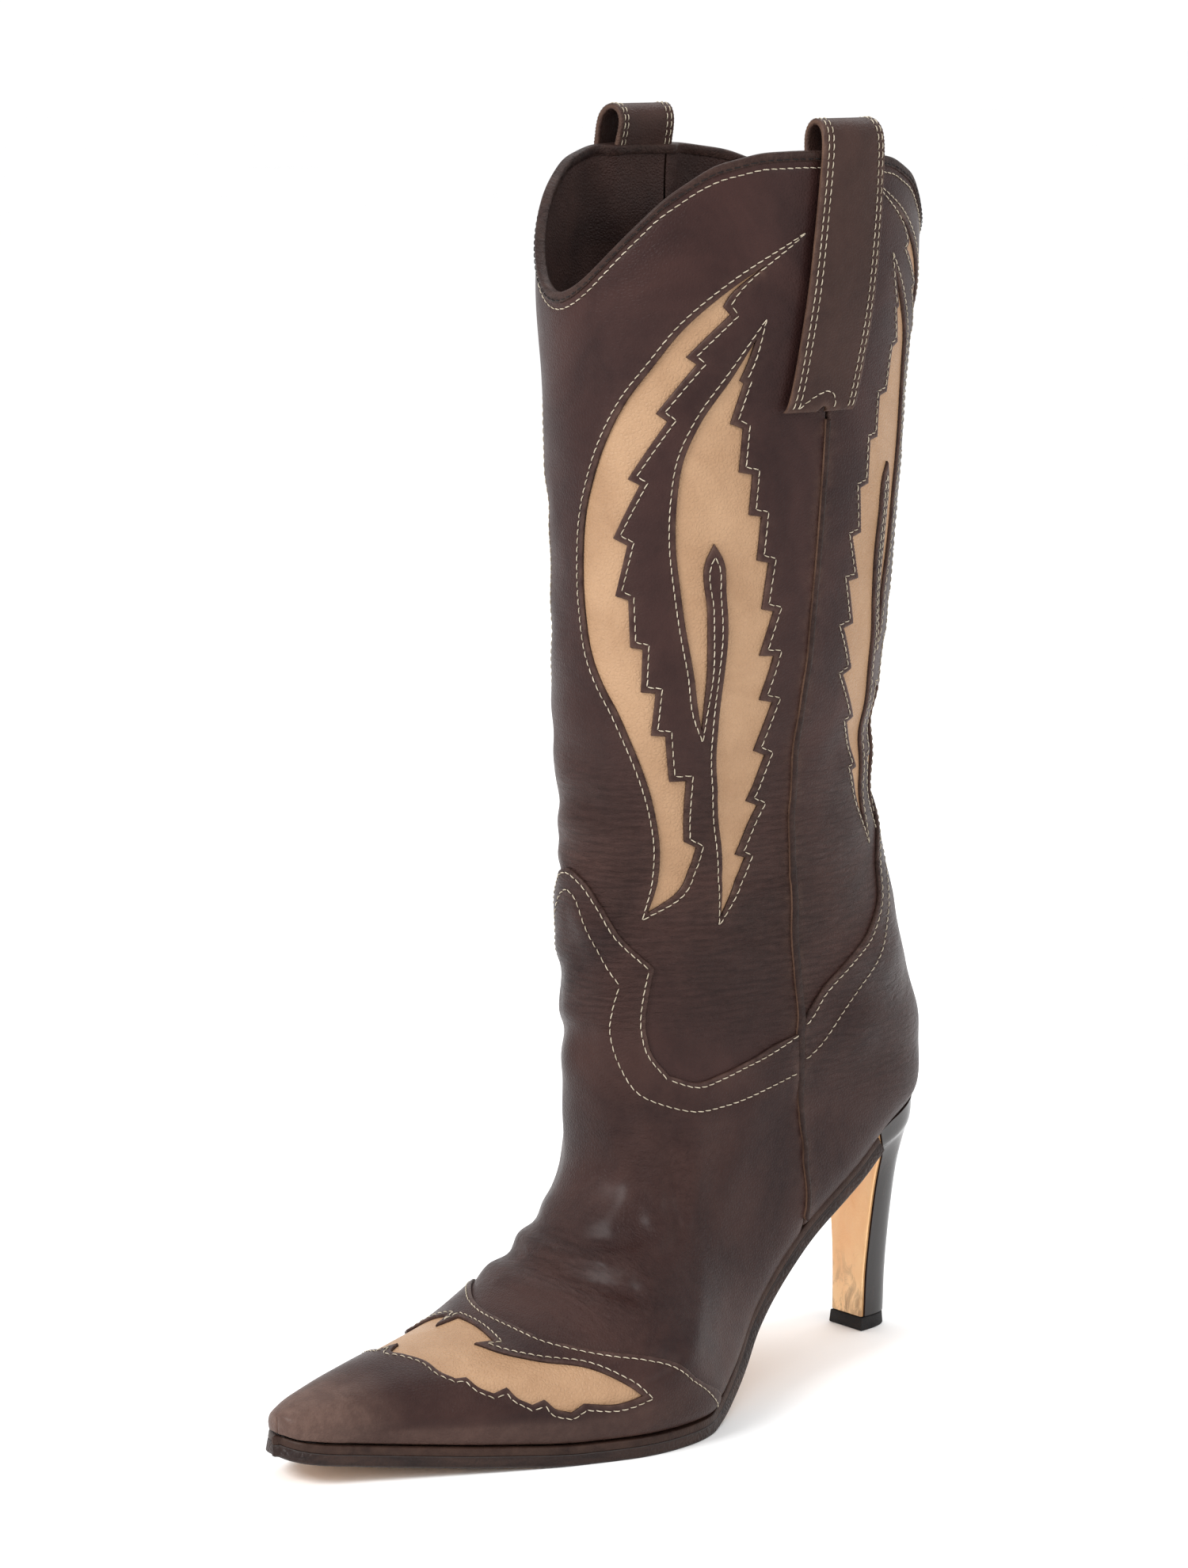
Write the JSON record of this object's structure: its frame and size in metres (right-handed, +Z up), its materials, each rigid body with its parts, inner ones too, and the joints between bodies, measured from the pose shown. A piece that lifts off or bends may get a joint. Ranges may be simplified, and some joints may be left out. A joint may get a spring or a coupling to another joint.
{
  "type": "cowboy boot",
  "caption": "Tall pull-on boot with a pointed toe, slim high heel, side pull straps and feather-shaped contrast inlays, made to be worn on the left foot.",
  "frame": {"origin": "centre of the underside of the heel top piece, where it stands on the floor", "axes": "+Z up along the shaft, -Y towards the toe, +X towards the outer side of this left boot"},
  "size_m": [0.1136, 0.268, 0.4131],
  "materials": {
    "dark_leather": "dark chocolate, semi-gloss, creased",
    "tan_leather": "smooth tan",
    "lining_leather": "dark brown, matt",
    "piping_leather": "worn brown edge",
    "welt_leather": "worn brown edge",
    "sole_leather": "dark stained, worn edge",
    "insole_leather": "natural board leather",
    "sock_leather": "brown, matt",
    "cork": "cork filler sheet",
    "toe_stiffener_board": "stiffened fabric board",
    "heel_stiffener_board": "moulded board",
    "steel": "plain",
    "heel_plastic": "moulded core, hidden",
    "heel_cover_leather": "glossy black-brown",
    "breast_leather": "smooth golden tan, scuffed",
    "top_piece_rubber": "matt black"
  },
  "bodies": {
    "root": {"ball_filler": "cork", "counter_stiffener": "heel_stiffener_board", "heel_block": "heel_plastic", "heel_breast_cover": "breast_leather", "heel_counter": "dark_leather", "heel_cover": "heel_cover_leather", "heel_lining": "lining_leather", "heel_nail_1": "steel", "heel_nail_2": "steel", "heel_nail_3": "steel", "heel_nail_4": "steel", "heel_screw": "steel", "heel_top_piece": "top_piece_rubber", "inlay_back_inner": "tan_leather", "inlay_back_outer": "tan_leather", "inlay_front_inner": "tan_leather", "inlay_front_outer": "tan_leather", "insole_board": "insole_leather", "outsole": "sole_leather", "pull_strap_inner": "dark_leather", "pull_strap_outer": "dark_leather", "shaft_back": "dark_leather", "shaft_front": "dark_leather", "shaft_lining_back": "lining_leather", "shaft_lining_front": "lining_leather", "shank": "steel", "side_piping_inner": "piping_leather", "side_piping_outer": "piping_leather", "sock_liner": "sock_leather", "toe_inlay": "tan_leather", "toe_puff": "toe_stiffener_board", "toe_wing": "dark_leather", "top_binding": "dark_leather", "top_piece_pin_1": "steel", "top_piece_pin_2": "steel", "vamp": "dark_leather", "vamp_lining": "lining_leather", "welt": "welt_leather"}
  },
  "joints": []
}
